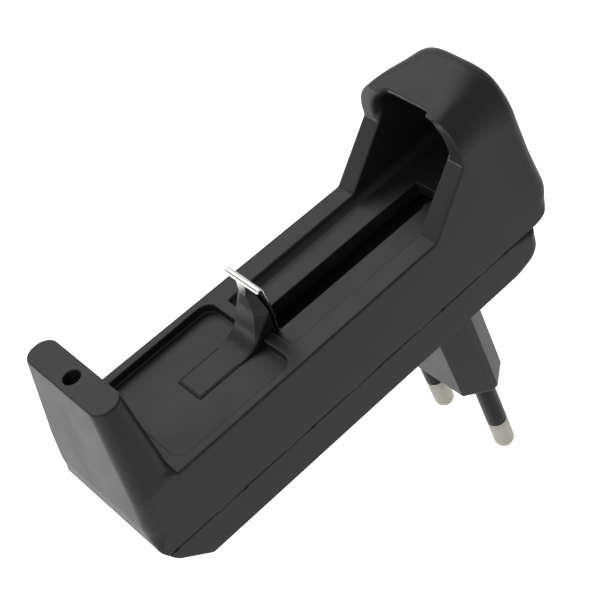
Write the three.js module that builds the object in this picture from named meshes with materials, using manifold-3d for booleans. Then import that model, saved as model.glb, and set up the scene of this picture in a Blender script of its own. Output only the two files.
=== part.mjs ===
// Plug-in charger for one cylindrical cell, as an assembly of separate pieces.
// Millimetres. +Z is up, out of the open cell bay. +X points from the indicator tab to the hood.
// The origin is the centre of the plug block's end face, which seats against the wall socket.
import * as THREE from "three";
import { mergeVertices } from "three/addons/utils/BufferGeometryUtils.js";
import Module from "manifold-3d";

const wasm = await Module();
wasm.setup();

// ---------- driving dimensions ----------
const SEAT = 19.0; // height of the body's underside above the plug face
const PARTING = SEAT + 6.8; // level of the joint between the two housings
const PARTING_GAP = 0.2;
const RIM = SEAT + 19.95; // top of the bay's side rims
const BAY_FLOOR = RIM - 1.7;
const FLOOR_THICKNESS = 2.85;
const FLOOR_UNDER = BAY_FLOOR - FLOOR_THICKNESS;
const TOP = SEAT + 39.4; // crown of the hood, at its back
const LIP_TOP = SEAT + 37.4; // crown of the hood, at its lip
const TAB_TOP = SEAT + 37.5;

const HALF_WIDTH = 14.02; // body half width at x = 0
const TAPER = -0.019; // change of half width per mm of x
const FRONT_X = -69.3; // outermost point of the indicator end
const BACK_X = 25.9; // outermost point of the hood end
const WALL = 2.0;

const BAY_HALF = 9.4;
const HOOD_FOOT_X = 0; // where the hood's sloping side walls leave the rims
const HOOD_LIP_X = 10.4; // front edge of the hood
const HOOD_LIP_Z = SEAT + 29.3;
const HOOD_BACK_INNER_X = 22.2;
const HOOD_CEILING_Z = SEAT + 36.6;
const CROWN_RADIUS = 9.5;

const FINGER_X = [-32.4, -30.1]; // the two fingers between the bay and the recess
const FINGER_TIP = 3.9;
const RECESS_X = [-57.8, FINGER_X[0]];
const RECESS_HALF = 12.8;
const RECESS_CORNER = 2.5;

const SLOT_HALF = 3.0;
const SLOT_FRONT_X = 9.5;
const TRAVEL = 15.8; // slider travel towards the indicator tab
const NECK_X = [-30.9, -29.0];
const SLOT_REAR_X = NECK_X[0] - TRAVEL - 0.2;
const TAIL_END_X = SLOT_REAR_X - 0.3;
const TAIL_HALF = 3.6;
const TAIL_GAP = 0.05; // under the thin strip that covers the slot behind the thumb rest
const TAIL_TOP = BAY_FLOOR + 0.4;
const TUNNEL_TOP = BAY_FLOOR + 0.7;
const TUNNEL_END_X = TAIL_END_X - TRAVEL - 0.3;
const CONTACT_X = -28.4; // front face of the sliding contact at rest
const CONTACT_TOP = SEAT + 30.1;

const LED_X = -62.9;
const PIN_HALF_SPACING = 9.3;
const PIN_RADIUS = 2.0;
const PIN_LENGTH = 19.0;
const SLEEVE_LENGTH = 11.4;
const PIN_TILT = 0.021; // the pins lean towards each other, in radians
const BOARD_Z = SEAT + 3.6;
const BOARD_TOP = BOARD_Z + 1.2;
const LINER_Z = SEAT + 11.2;
const SCREW_X = [-50.6, 14.0]; // housing screws, on the centre line
const BOARD_X = [-61.2, -11.0];
const CORE_X = [-63.0, -54.4];
const KEEPER_X = [-31.9, -27.0];
const STOP_GAP = 0.3; // between the keeper at rest and the two stops on the rails
const SLIDER_SCREW_X = -29.95;
const ANCHOR_X = 8.0; // pin that holds the spring's fixed end

// ---------- materials ----------
const paint = (color, roughness, metalness = 0) =>
  new THREE.MeshStandardMaterial({ color, roughness, metalness });
const BLACK = paint(0x242427, 0.5);
const SLEEVE_BLACK = paint(0x1c1c1e, 0.55);
const NICKEL = paint(0xb9b6ac, 0.3, 1);
const SPRING_STEEL = paint(0xd6d5cf, 0.25, 1);
const BOARD_TAN = paint(0xb08a4c, 0.6);
const FERRITE = paint(0x3a3a3c, 0.7);
const TAPE_YELLOW = paint(0xd8b63a, 0.5);
const CAN_DARK = paint(0x23315c, 0.4);
const EPOXY = paint(0x19191b, 0.5);
const DISC_BLUE = paint(0x2f6fb0, 0.4);
const RESISTOR_GREY = paint(0x7c8a86, 0.6);
const WIRE_RED = paint(0xa32020, 0.5);
const WIRE_BLACK = paint(0x161616, 0.5);
const LENS = paint(0xd9d9d2, 0.2);

// ---------- solids ----------
function solid(geometry) {
  const bare = geometry.clone();
  bare.deleteAttribute("normal");
  bare.deleteAttribute("uv");
  const merged = mergeVertices(bare, 1e-4);
  const index = merged.index.array;
  return new wasm.Manifold(
    new wasm.Mesh({
      numProp: 3,
      vertProperties: new Float32Array(merged.attributes.position.array),
      triVerts: new Uint32Array(index),
    }),
  );
}

function geometryOf(body) {
  const data = body.getMesh();
  const geometry = new THREE.BufferGeometry();
  geometry.setAttribute("position", new THREE.BufferAttribute(data.vertProperties, 3));
  geometry.setIndex(new THREE.BufferAttribute(data.triVerts, 1));
  geometry.computeVertexNormals();
  return geometry;
}

const group = new THREE.Group();
function add(name, shape, material) {
  const geometry = shape.isBufferGeometry ? shape : geometryOf(shape);
  const piece = new THREE.Mesh(geometry, material);
  piece.name = name;
  group.add(piece);
  return piece;
}

function extruded(outline, depth, holes = []) {
  const points = outline instanceof THREE.Shape ? null : outline.map(([a, b]) => new THREE.Vector2(a, b));
  const shape = points ? new THREE.Shape(points) : outline;
  holes.forEach((hole) => shape.holes.push(hole));
  return new THREE.ExtrudeGeometry(shape, { depth, bevelEnabled: false, curveSegments: 6 });
}

// Outline in x and y, between two heights.
const plan = (outline, z0, z1, holes) => extruded(outline, z1 - z0, holes).translate(0, 0, z0);

// Outline in x and z, between two y planes.
const side = (outline, y0, y1) => extruded(outline, y1 - y0).rotateX(Math.PI / 2).translate(0, y1, 0);

// Outline in y and z, between two x planes.
function section(outline, x0, x1) {
  const turn = new THREE.Matrix4().makeBasis(
    new THREE.Vector3(0, 1, 0),
    new THREE.Vector3(0, 0, 1),
    new THREE.Vector3(1, 0, 0),
  );
  return extruded(outline, x1 - x0).applyMatrix4(turn).translate(x0, 0, 0);
}

const box = ([x0, x1], [y0, y1], [z0, z1]) =>
  new THREE.BoxGeometry(x1 - x0, y1 - y0, z1 - z0).translate((x0 + x1) / 2, (y0 + y1) / 2, (z0 + z1) / 2);

// Upright cylinder between two heights.
const post = (x, y, z0, z1, radius, segments = 20) =>
  new THREE.CylinderGeometry(radius, radius, z1 - z0, segments)
    .rotateX(Math.PI / 2)
    .translate(x, y, (z0 + z1) / 2);

function roundedRectangle([a0, a1], [b0, b1], radius) {
  const shape = new THREE.Shape();
  shape.moveTo(a0 + radius, b0);
  shape.lineTo(a1 - radius, b0);
  shape.absarc(a1 - radius, b0 + radius, radius, -Math.PI / 2, 0);
  shape.lineTo(a1, b1 - radius);
  shape.absarc(a1 - radius, b1 - radius, radius, 0, Math.PI / 2);
  shape.lineTo(a0 + radius, b1);
  shape.absarc(a0 + radius, b1 - radius, radius, Math.PI / 2, Math.PI);
  shape.lineTo(a0, b0 + radius);
  shape.absarc(a0 + radius, b0 + radius, radius, Math.PI, 1.5 * Math.PI);
  return shape;
}

// Arch with a flat bottom and two round top corners, in y and z.
function archOutline(half, z0, z1, radius) {
  const shape = new THREE.Shape();
  shape.moveTo(-half, z0);
  shape.lineTo(half, z0);
  shape.lineTo(half, z1 - radius);
  shape.absarc(half - radius, z1 - radius, radius, 0, Math.PI / 2);
  shape.lineTo(-half + radius, z1);
  shape.absarc(-half + radius, z1 - radius, radius, Math.PI / 2, Math.PI);
  return shape;
}

const halfWidth = (x) => HALF_WIDTH + TAPER * x;

// Plan outline of the body, set in from the outer surface on every side.
function bodyPlan(inset) {
  const corner = Math.max(3.0 - inset, 0.6);
  const end = Math.max(1.2 - inset, 0.4);
  const x0 = FRONT_X + inset;
  const x1 = BACK_X - inset;
  const y0 = halfWidth(x0) - inset;
  const y1 = halfWidth(x1) - inset;
  const shape = new THREE.Shape();
  shape.moveTo(x0 + end, -y0);
  shape.lineTo(x1 - corner, -y1);
  shape.absarc(x1 - corner, -y1 + corner, corner, -Math.PI / 2, 0);
  shape.lineTo(x1, y1 - corner);
  shape.absarc(x1 - corner, y1 - corner, corner, 0, Math.PI / 2);
  shape.lineTo(x0 + end, y0);
  shape.absarc(x0 + end, y0 - end, end, Math.PI / 2, Math.PI);
  shape.lineTo(x0, -y0 + end);
  shape.absarc(x0 + end, -y0 + end, end, Math.PI, 1.5 * Math.PI);
  return shape;
}

// ---------- housings ----------
const CHAMFER_TOP = SEAT + 8.6;
const CHAMFER_X = -61.5; // where the sloping indicator end meets the underside
const KNEE = [-67.2, SEAT + 4.6]; // the slope steepens here
const chamferAt = (z) =>
  z < KNEE[1]
    ? CHAMFER_X + ((KNEE[0] - CHAMFER_X) * (z - SEAT)) / (KNEE[1] - SEAT)
    : KNEE[0] + ((FRONT_X - KNEE[0]) * (z - KNEE[1])) / (CHAMFER_TOP - KNEE[1]);
const PINCH_X = 19.8; // the hood end draws in to here at the joint line
const HEEL_X = 14.8; // the underside curves up from here
const BULGE_Z = SEAT + 13.2;
const CROWN_BACK_X = 25.2;
const CROWN_BACK_RADIUS = 3.2;

function upperProfile() {
  const shape = new THREE.Shape();
  shape.moveTo(chamferAt(PARTING), PARTING);
  shape.lineTo(PINCH_X, PARTING);
  shape.absellipse(PINCH_X, BULGE_Z, BACK_X - PINCH_X, BULGE_Z - PARTING, -Math.PI / 2, 0, false);
  shape.lineTo(CROWN_BACK_X, TOP - CROWN_BACK_RADIUS);
  shape.absarc(CROWN_BACK_X - CROWN_BACK_RADIUS, TOP - CROWN_BACK_RADIUS, CROWN_BACK_RADIUS, 0, Math.PI / 2);
  shape.lineTo(HOOD_LIP_X + 0.4, LIP_TOP);
  shape.lineTo(HOOD_LIP_X, HOOD_LIP_Z);
  shape.lineTo(HOOD_FOOT_X, RIM);
  shape.lineTo(-59.8, RIM);
  shape.lineTo(-59.8, TAB_TOP);
  shape.lineTo(-65.8, TAB_TOP);
  shape.lineTo(FRONT_X, SEAT + 13.4);
  shape.lineTo(FRONT_X, CHAMFER_TOP);
  return shape;
}

const RAIL_Z = [SEAT + 12.4, FLOOR_UNDER + 1];
const STOP_X = [KEEPER_X[1] + STOP_GAP, KEEPER_X[1] + STOP_GAP + 1.2];

// The bay and hood cavity from the side, with a round corner under the crown's back edge.
function bayProfile() {
  const radius = 4.8;
  const shape = new THREE.Shape();
  shape.moveTo(FINGER_X[1] - 1, BAY_FLOOR - 1);
  shape.lineTo(HOOD_BACK_INNER_X, BAY_FLOOR - 1);
  shape.lineTo(HOOD_BACK_INNER_X, HOOD_CEILING_Z - radius);
  shape.absarc(HOOD_BACK_INNER_X - radius, HOOD_CEILING_Z - radius, radius, 0, Math.PI / 2);
  shape.lineTo(HOOD_LIP_X - 1, TOP + 1);
  shape.lineTo(FINGER_X[1] - 1, TOP + 1);
  return shape;
}

function upperHousing() {
  let body = solid(side(upperProfile(), -18, 18)).intersect(solid(plan(bodyPlan(0), SEAT, TOP + 5)));
  const crown = solid(box([HOOD_FOOT_X + 1, 40], [-20, 20], [RIM + 2, TOP + 5])).subtract(
    solid(section(archOutline(HALF_WIDTH, SEAT, TOP, CROWN_RADIUS), -5, 45)),
  );
  const tabSection = [
    [-15.35, SEAT],
    [15.35, SEAT],
    [15.25, RIM],
    [13.0, TAB_TOP + 0.1],
    [-13.0, TAB_TOP + 0.1],
    [-15.25, RIM],
  ];
  const tabSides = solid(box([-75, -59], [-20, 20], [RIM, TAB_TOP + 5])).subtract(
    solid(section(tabSection, -76, -58)),
  );
  body = body.subtract(crown).subtract(tabSides);
  // hollow from below, the side rails under the slot, the screw posts
  let hollow = solid(plan(bodyPlan(WALL), PARTING - 1, FLOOR_UNDER)).intersect(
    solid(box([chamferAt(PARTING) + WALL, PINCH_X - WALL], [-20, 20], [SEAT, TOP])),
  );
  for (const s of [-1, 1]) {
    const rail = box([SLOT_REAR_X - 1.6, SLOT_FRONT_X + 2], [5.7 * s - 0.6, 5.7 * s + 0.6], RAIL_Z);
    const stop = box(STOP_X, [4.15 * s - 1.05, 4.15 * s + 1.05], [KEEPER_Z[0], FLOOR_UNDER + 1]);
    hollow = hollow.subtract(solid(rail)).subtract(solid(stop));
  }
  for (const x of SCREW_X) hollow = hollow.subtract(solid(post(x, 0, SEAT + 2.4, FLOOR_UNDER + 1, 2.6)));
  body = body.subtract(hollow);
  for (const x of SCREW_X) body = body.subtract(solid(post(x, 0, SEAT, SEAT + 14, 1.05, 16)));
  // bay, hood cavity, recess and the gap between the fingers
  const bayArch = archOutline(BAY_HALF, BAY_FLOOR, HOOD_CEILING_Z, 6);
  const bay = solid(section(bayArch, FINGER_X[1], HOOD_BACK_INNER_X));
  body = body.subtract(bay.intersect(solid(side(bayProfile(), -BAY_HALF - 1, BAY_HALF + 1))));
  const recess = roundedRectangle(RECESS_X, [-RECESS_HALF, RECESS_HALF], RECESS_CORNER);
  body = body.subtract(solid(plan(recess, BAY_FLOOR, RIM + 1)));
  const gap = box([FINGER_X[0] - 1, FINGER_X[1] + 1], [-FINGER_TIP, FINGER_TIP], [BAY_FLOOR, RIM + 1]);
  body = body.subtract(solid(gap));
  // notch in the hood's front edge
  body = body.subtract(solid(box([HOOD_LIP_X - 2, HOOD_LIP_X + 1.3], [-5.8, 5.8], [SEAT + 33, TOP + 1])));
  // slot, and the tunnel under the tab that the tail strip slides into
  const slot = box([SLOT_REAR_X, SLOT_FRONT_X], [-SLOT_HALF, SLOT_HALF], [FLOOR_UNDER - 1, RIM]);
  const tunnelHalf = TAIL_HALF + 0.3;
  const tunnel = box([TUNNEL_END_X, RECESS_X[0] + 0.5], [-tunnelHalf, tunnelHalf], [BAY_FLOOR, TUNNEL_TOP]);
  body = body.subtract(solid(slot)).subtract(solid(tunnel));
  // lamp bore and lead passage
  body = body.subtract(solid(post(LED_X, 0, SEAT + 29, TAB_TOP + 2, 2.0, 24)));
  body = body.subtract(solid(box([-66.0, -63.9], [-2, 2], [SEAT + 13, SEAT + 31])));
  return body;
}

function lowerHousing() {
  const top = PARTING - PARTING_GAP;
  const shape = new THREE.Shape();
  shape.moveTo(CHAMFER_X, SEAT);
  shape.lineTo(HEEL_X, SEAT);
  shape.absellipse(HEEL_X, top, PINCH_X - HEEL_X, top - SEAT, -Math.PI / 2, 0, false);
  shape.lineTo(chamferAt(top), top);
  shape.lineTo(KNEE[0], KNEE[1]);
  let body = solid(side(shape, -18, 18)).intersect(solid(plan(bodyPlan(0), SEAT - 1, PARTING)));
  const inner = [
    [CHAMFER_X + 1.2, SEAT + WALL],
    [11.5, SEAT + WALL],
    [PINCH_X - 2.6, SEAT + 5.2],
    [PINCH_X - 2.6, PARTING + 1],
    [chamferAt(PARTING) + 2.2, PARTING + 1],
  ];
  const hollow = solid(side(inner, -18, 18)).intersect(solid(plan(bodyPlan(WALL), SEAT, PARTING + 2)));
  body = body.subtract(hollow);
  // ribs that carry the board, and pillars round the housing screws
  for (const x of [-58, -18]) {
    const rib = box([x - 0.7, x + 0.7], [-12.4, 12.4], [SEAT + 1, BOARD_Z - 0.05]);
    body = body.add(solid(rib));
  }
  for (const x of SCREW_X) body = body.add(solid(post(x, 0, SEAT + 1, PARTING - 0.4, 2.6)));
  // window for the plug block and holes for the screws
  body = body.subtract(solid(plan(blockOutline(0.2), SEAT - 1, SEAT + WALL + 0.5)));
  for (const x of SCREW_X) {
    body = body.subtract(solid(post(x, 0, SEAT - 1, PARTING, 1.4, 16)));
    body = body.subtract(solid(post(x, 0, SEAT - 1, SEAT + 1.2, 2.5, 20)));
  }
  return body;
}

// ---------- plug ----------
const BLOCK_HALF_X = 5.24;
const BLOCK_HALF_END = 0.8;
const BLOCK_LONG = 9.9;
const BLOCK_HALF_Y = 13.78;

function blockOutline(grow) {
  const a = BLOCK_HALF_X + grow;
  const b = BLOCK_HALF_END + grow / 2;
  const c = BLOCK_LONG + grow / 2;
  const d = Math.min(BLOCK_HALF_Y + grow, 13.8);
  return [
    [-a, -c],
    [-b, -d],
    [b, -d],
    [a, -c],
    [a, c],
    [b, d],
    [-b, d],
    [-a, c],
  ];
}

// A cylinder about one pin's leaning axis, measured along it from the plug face, up positive.
function pinRod(sideSign, from, to, radius, segments = 24) {
  return new THREE.CylinderGeometry(radius, radius, to - from, segments)
    .rotateX(Math.PI / 2)
    .translate(0, 0, (from + to) / 2)
    .rotateX(-sideSign * PIN_TILT)
    .translate(0, sideSign * PIN_HALF_SPACING, 0);
}

function plugBlock() {
  const trimmed = solid(box([-20, 20], [-13.75, 13.75], [-1, SEAT + 1]));
  let body = solid(plan(blockOutline(0), 0, SEAT + 3.0)).intersect(trimmed);
  body = body.add(solid(box([-6.6, 6.6], [-11.6, 11.6], [SEAT + WALL + 0.05, SEAT + 3.4])));
  body = body.add(solid(box([-5, 5], [-9, 9], [SEAT, SEAT + 3.0])));
  for (const s of [-1, 1]) body = body.subtract(solid(pinRod(s, -1, SEAT + 8, PIN_RADIUS + 0.06)));
  return body;
}

function pin(s) {
  const profile = [
    [0, -PIN_LENGTH],
    [1.0, -PIN_LENGTH + 0.28],
    [1.72, -PIN_LENGTH + 1.0],
    [PIN_RADIUS, -PIN_LENGTH + 2.0],
    [PIN_RADIUS, -SLEEVE_LENGTH - 0.1],
    [1.6, -SLEEVE_LENGTH - 0.1],
    [1.6, SEAT + 4.4],
    [0.7, SEAT + 4.4],
    [0.7, SEAT + 6.6],
    [0, SEAT + 6.6],
  ].map(([r, z]) => new THREE.Vector2(r, z));
  return new THREE.LatheGeometry(profile, 24)
    .rotateX(Math.PI / 2)
    .rotateX(-s * PIN_TILT)
    .translate(0, s * PIN_HALF_SPACING, 0);
}

function pinSleeve(s) {
  const profile = [
    [1.62, -SLEEVE_LENGTH],
    [PIN_RADIUS, -SLEEVE_LENGTH],
    [PIN_RADIUS, 2.5],
    [1.62, 2.5],
    [1.62, -SLEEVE_LENGTH],
  ].map(([r, z]) => new THREE.Vector2(r, z));
  return new THREE.LatheGeometry(profile, 24)
    .rotateX(Math.PI / 2)
    .rotateX(-s * PIN_TILT)
    .translate(0, s * PIN_HALF_SPACING, 0);
}

// ---------- slider ----------
const TOWER_FOOT_Z = RIM + 0.3;

function sliderCarriage() {
  const top = CONTACT_TOP - 1.2;
  const back = CONTACT_X - 0.6;
  // thumb rest: a narrow tower behind the contact, with a sloping back
  const towerSide = [
    [back, TOWER_FOOT_Z],
    [back, top],
    [back - 0.2, top],
    [back - 1.9, SEAT + 24.5],
    [back - 4.2, SEAT + 21.2],
    [back - 4.2, TOWER_FOOT_Z],
  ];
  const towerSection = [
    [-3.7, TOWER_FOOT_Z],
    [3.7, TOWER_FOOT_Z],
    [4.6, SEAT + 25],
    [4.6, top],
    [-4.6, top],
    [-4.6, SEAT + 25],
  ];
  const tower = solid(side(towerSide, -11, 11)).intersect(solid(section(towerSection, -40, -20)));
  const spineSide = [
    [back, BAY_FLOOR + TAIL_GAP],
    [back, TOWER_FOOT_Z + 1],
    [-33.0, TOWER_FOOT_Z + 1],
    [-36.4, TAIL_TOP + 0.5],
    [-38.2, TAIL_TOP],
    [TAIL_END_X, TAIL_TOP],
    [TAIL_END_X, BAY_FLOOR + TAIL_GAP],
  ];
  const collar = solid(box([-34, back], [-2.7, 2.7], [BAY_FLOOR + TAIL_GAP, TOWER_FOOT_Z + 1]));
  const spine = solid(side(spineSide, -TAIL_HALF, TAIL_HALF)).subtract(
    solid(box([FINGER_X[1] + 0.2, 0], [-TAIL_HALF, TAIL_HALF], [BAY_FLOOR, TOWER_FOOT_Z])),
  );
  const neck = solid(box(NECK_X, [-2.7, 2.7], [FLOOR_UNDER - 0.3, BAY_FLOOR + 0.5]));
  const hole = solid(post(SLIDER_SCREW_X, 0, FLOOR_UNDER - 2, BAY_FLOOR - 0.4, 0.55, 12));
  return tower.add(spine).add(collar).add(neck).subtract(hole);
}

function sliderContact() {
  const t = 0.4;
  // front plate, tapering from the top down into the slot
  const plate = solid(
    section(
      [
        [-2.7, FLOOR_UNDER + 0.6],
        [2.7, FLOOR_UNDER + 0.6],
        [2.9, BAY_FLOOR + 1],
        [5.0, SEAT + 25],
        [5.0, CONTACT_TOP],
        [-5.0, CONTACT_TOP],
        [-5.0, SEAT + 25],
        [-2.9, BAY_FLOOR + 1],
      ],
      CONTACT_X - t,
      CONTACT_X,
    ),
  );
  const fold = solid(box([CONTACT_X - 1.2, CONTACT_X], [-5, 5], [CONTACT_TOP - 0.4, CONTACT_TOP]));
  const leg = solid(
    side(
      [
        [CONTACT_X - 0.9, CONTACT_TOP],
        [CONTACT_X - 1.2, CONTACT_TOP],
        [CONTACT_X - 2.5, CONTACT_TOP - 2.8],
        [CONTACT_X - 2.2, CONTACT_TOP - 2.9],
      ],
      -1.4,
      1.4,
    ),
  );
  return plate.add(fold).add(leg);
}

const KEEPER_Z = [FLOOR_UNDER - 1.6, FLOOR_UNDER - 0.4];

function sliderKeeper() {
  const hookZ = [KEEPER_Z[0] - 1.6, KEEPER_Z[0] + 0.1];
  const hook = solid(box([KEEPER_X[1] - 1.1, KEEPER_X[1]], [-0.9, 0.9], hookZ));
  return solid(box(KEEPER_X, [-4.7, 4.7], KEEPER_Z))
    .add(hook)
    .subtract(solid(post(SLIDER_SCREW_X, 0, KEEPER_Z[0] - 1, KEEPER_Z[1] + 1, 0.75, 16)));
}

// Pan-head screw, head downwards.
function screw(x, y, z, length, shank, head, headHeight) {
  const profile = [
    [0, -headHeight],
    [head * 0.8, -headHeight],
    [head, -headHeight * 0.6],
    [head, 0],
    [shank, 0],
    [shank, length - shank],
    [0, length],
  ].map(([r, h]) => new THREE.Vector2(r, h));
  return new THREE.LatheGeometry(profile, 16).rotateX(Math.PI / 2).translate(x, y, z);
}

const SPRING_Z = SEAT + 13.45;

class SpringPath extends THREE.Curve {
  constructor(x0, x1, z, radius, turns) {
    super();
    Object.assign(this, { x0, x1, z, radius, turns });
  }
  getPoint(t, target = new THREE.Vector3()) {
    const angle = t * this.turns * 2 * Math.PI;
    return target.set(
      this.x0 + (this.x1 - this.x0) * t,
      this.radius * Math.sin(angle),
      this.z + this.radius * Math.cos(angle),
    );
  }
}

function sliderSpring() {
  const turns = 17;
  const path = new SpringPath(KEEPER_X[1] + 0.5, ANCHOR_X - 0.9, SPRING_Z, 1.05, turns);
  return tube(path, 0.2, turns * 9, 5);
}

// ---------- wires and tubes ----------
function tube(path, radius, steps, sides) {
  const ring = new THREE.Shape();
  for (let i = 0; i < sides; i++) {
    const angle = (i / sides) * 2 * Math.PI;
    const x = radius * Math.cos(angle);
    const y = radius * Math.sin(angle);
    if (i) ring.lineTo(x, y);
    else ring.moveTo(x, y);
  }
  return new THREE.ExtrudeGeometry(ring, { steps, extrudePath: path });
}

function wire(points, radius = 0.6) {
  const path = new THREE.CatmullRomCurve3(points.map(([x, y, z]) => new THREE.Vector3(x, y, SEAT + z)));
  return tube(path, radius, 18, 7);
}

// ---------- electronics ----------
function circuitBoard() {
  let body = solid(box(BOARD_X, [-11.2, 11.2], [BOARD_Z, BOARD_TOP]));
  body = body.subtract(solid(post(SCREW_X[0], 0, BOARD_Z - 1, BOARD_TOP + 1, 3.0)));
  return body;
}

function transformerCore() {
  const z0 = BOARD_TOP + 0.9;
  const frame = solid(box(CORE_X, [-6.6, 6.6], [z0, z0 + 9.4]));
  const windows = [-1, 1].map((s) => {
    const y = 3.45 * s;
    return solid(box([-67, -50], [y - 1.45, y + 1.45], [z0 + 2, z0 + 7.4]));
  });
  return windows.reduce((all, w) => all.subtract(w), frame);
}

function transformerWinding() {
  const z0 = BOARD_TOP + 0.9;
  const ring = solid(box([CORE_X[0] - 0.8, CORE_X[1] + 0.8], [-4.7, 4.7], [z0 + 2.15, z0 + 7.25]));
  return ring.subtract(solid(box([CORE_X[0] - 0.2, CORE_X[1] + 0.2], [-2.2, 2.2], [z0, z0 + 9])));
}

function lyingCan(x0, x1, y, radius) {
  return new THREE.CylinderGeometry(radius, radius, x1 - x0, 20)
    .rotateZ(Math.PI / 2)
    .translate((x0 + x1) / 2, y, BOARD_TOP + radius + 0.1);
}

function disc(x, y, radius, thickness) {
  return new THREE.CylinderGeometry(radius, radius, thickness, 20).translate(x, y, BOARD_TOP + radius + 0.1);
}

const chip = (x, y, lx, ly, h) =>
  box([x - lx / 2, x + lx / 2], [y - ly / 2, y + ly / 2], [BOARD_TOP + 0.1, BOARD_TOP + 0.1 + h]);

function lamp() {
  const profile = [
    [0, SEAT + 29.2],
    [1.6, SEAT + 29.2],
    [1.6, SEAT + 30.2],
    [1.45, SEAT + 30.2],
    [1.45, SEAT + 33.0],
    [1.25, SEAT + 33.9],
    [0.75, SEAT + 34.5],
    [0, SEAT + 34.7],
  ].map(([r, z]) => new THREE.Vector2(r, z));
  return new THREE.LatheGeometry(profile, 20).rotateX(Math.PI / 2).translate(LED_X, 0, 0);
}

function hoodContact() {
  const x = HOOD_BACK_INNER_X - 0.2;
  const leaf = solid(box([x - 0.4, x], [-3.5, 3.5], [BAY_FLOOR + 0.3, SEAT + 32]));
  const ball = new THREE.SphereGeometry(3.0, 20, 14).scale(0.2, 1, 1);
  const dome = solid(ball.translate(x - 0.3, 0, SEAT + 28.05));
  const cut = solid(box([x, x + 4], [-5, 5], [SEAT + 20, SEAT + 34]));
  return leaf.add(dome.subtract(cut));
}

function slotLiner() {
  const strip = solid(box([SLOT_REAR_X - 0.7, SLOT_FRONT_X + 1.6], [-6.6, 6.6], [LINER_Z, LINER_Z + 0.8]));
  return strip.subtract(solid(post(ANCHOR_X, 0, LINER_Z - 1, LINER_Z + 2, 0.75)));
}

function anchorPin() {
  return post(ANCHOR_X, 0, LINER_Z - 1.6, FLOOR_UNDER - 0.4, 0.6, 14);
}

// ---------- assembly ----------
add("upper_housing", upperHousing(), BLACK);
add("lower_housing", lowerHousing(), BLACK);
add("plug_block", plugBlock(), BLACK);
for (const [name, s] of [
  ["near", -1],
  ["far", 1],
]) {
  add("plug_pin_" + name, pin(s), NICKEL);
  add("pin_sleeve_" + name, pinSleeve(s), SLEEVE_BLACK);
}
add("slider_carriage", sliderCarriage(), BLACK);
add("slider_contact", sliderContact(), SPRING_STEEL);
add("slider_keeper", sliderKeeper(), BLACK);
add("slider_screw", screw(SLIDER_SCREW_X, 0, KEEPER_Z[0] - 0.02, 3.4, 0.5, 1.1, 0.7), NICKEL);
add("slider_spring", sliderSpring(), SPRING_STEEL);
add("spring_anchor_pin", anchorPin(), NICKEL);
add("slot_liner", slotLiner(), EPOXY);
add("hood_contact", hoodContact(), NICKEL);
add("indicator_lamp", lamp(), LENS);
add("circuit_board", circuitBoard(), BOARD_TAN);
add("transformer_core", transformerCore(), FERRITE);
add("transformer_winding", transformerWinding(), TAPE_YELLOW);
add("mains_capacitor", lyingCan(-30, -18.5, -7.6, 2.9), CAN_DARK);
add("output_capacitor", lyingCan(-45.5, -38, 7.6, 2.6), CAN_DARK);
add("bridge_rectifier", chip(-17.5, 4.5, 4.6, 6.4, 2.4), EPOXY);
add("fusible_resistor", lyingCan(-24.5, -16.5, 9.6, 1.25), RESISTOR_GREY);
add("switching_transistor", chip(-34.5, -6.5, 4.4, 3.4, 4.6), EPOXY);
add("charge_controller", chip(-37, 1.2, 4.9, 3.9, 1.5), EPOXY);
add("output_diode", lyingCan(-45, -39.8, -8.4, 1.35), EPOXY);
add("safety_capacitor", disc(-49.5, 8.6, 2.9, 2.2), DISC_BLUE);
for (const [i, x] of SCREW_X.entries())
  add("housing_screw_" + (i + 1), screw(x, 0, SEAT + 1.15, 12, 0.95, 2.2, 0.9), NICKEL);
for (const [name, s] of [
  ["near", -1],
  ["far", 1],
])
  add(
    "mains_wire_" + name,
    wire([
      [0.2, s * 8.6, 7.6],
      [-0.6, s * 8.5, 9.2],
      [-5, s * 8.6, 9.6],
      [-10, s * 9.0, 7.6],
      [-12.6, s * 9.2, 5.6],
    ]),
    name === "near" ? WIRE_BLACK : WIRE_RED,
  );
const HOOD_LEAD = [
  [-13.5, 0.4, 5.6],
  [-9, 1.5, 8.2],
  [0, 4, 9.2],
  [9, 9, 9.4],
  [16.4, 9.4, 9],
];
const ANCHOR_LEAD = [
  [-13.5, -1.4, 5.6],
  [-9, -2, 8],
  [0, -2.5, 9],
  [5, -1, 9.2],
  [8, 0, 8.6],
];
add("hood_contact_wire", wire(HOOD_LEAD), WIRE_RED);
add("anchor_wire", wire(ANCHOR_LEAD), WIRE_BLACK);
add("lamp_lead", wire([[-64.7, 0, 28.6], [-64.9, 0, 26], [-65.0, 0, 20], [-65.0, 0, 17.5]], 0.5), WIRE_RED);

export default group;
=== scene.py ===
"""Looks of the plug-in single-cell charger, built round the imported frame.

Shapes are written as signed distances in millimetres and meshed with surface nets. Heights count
from the underside of the body. Every round edge is part of the distance, so it is real geometry.
"""

import math

import bmesh
import bpy
import numpy as np
from mathutils import Matrix, Vector


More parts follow.
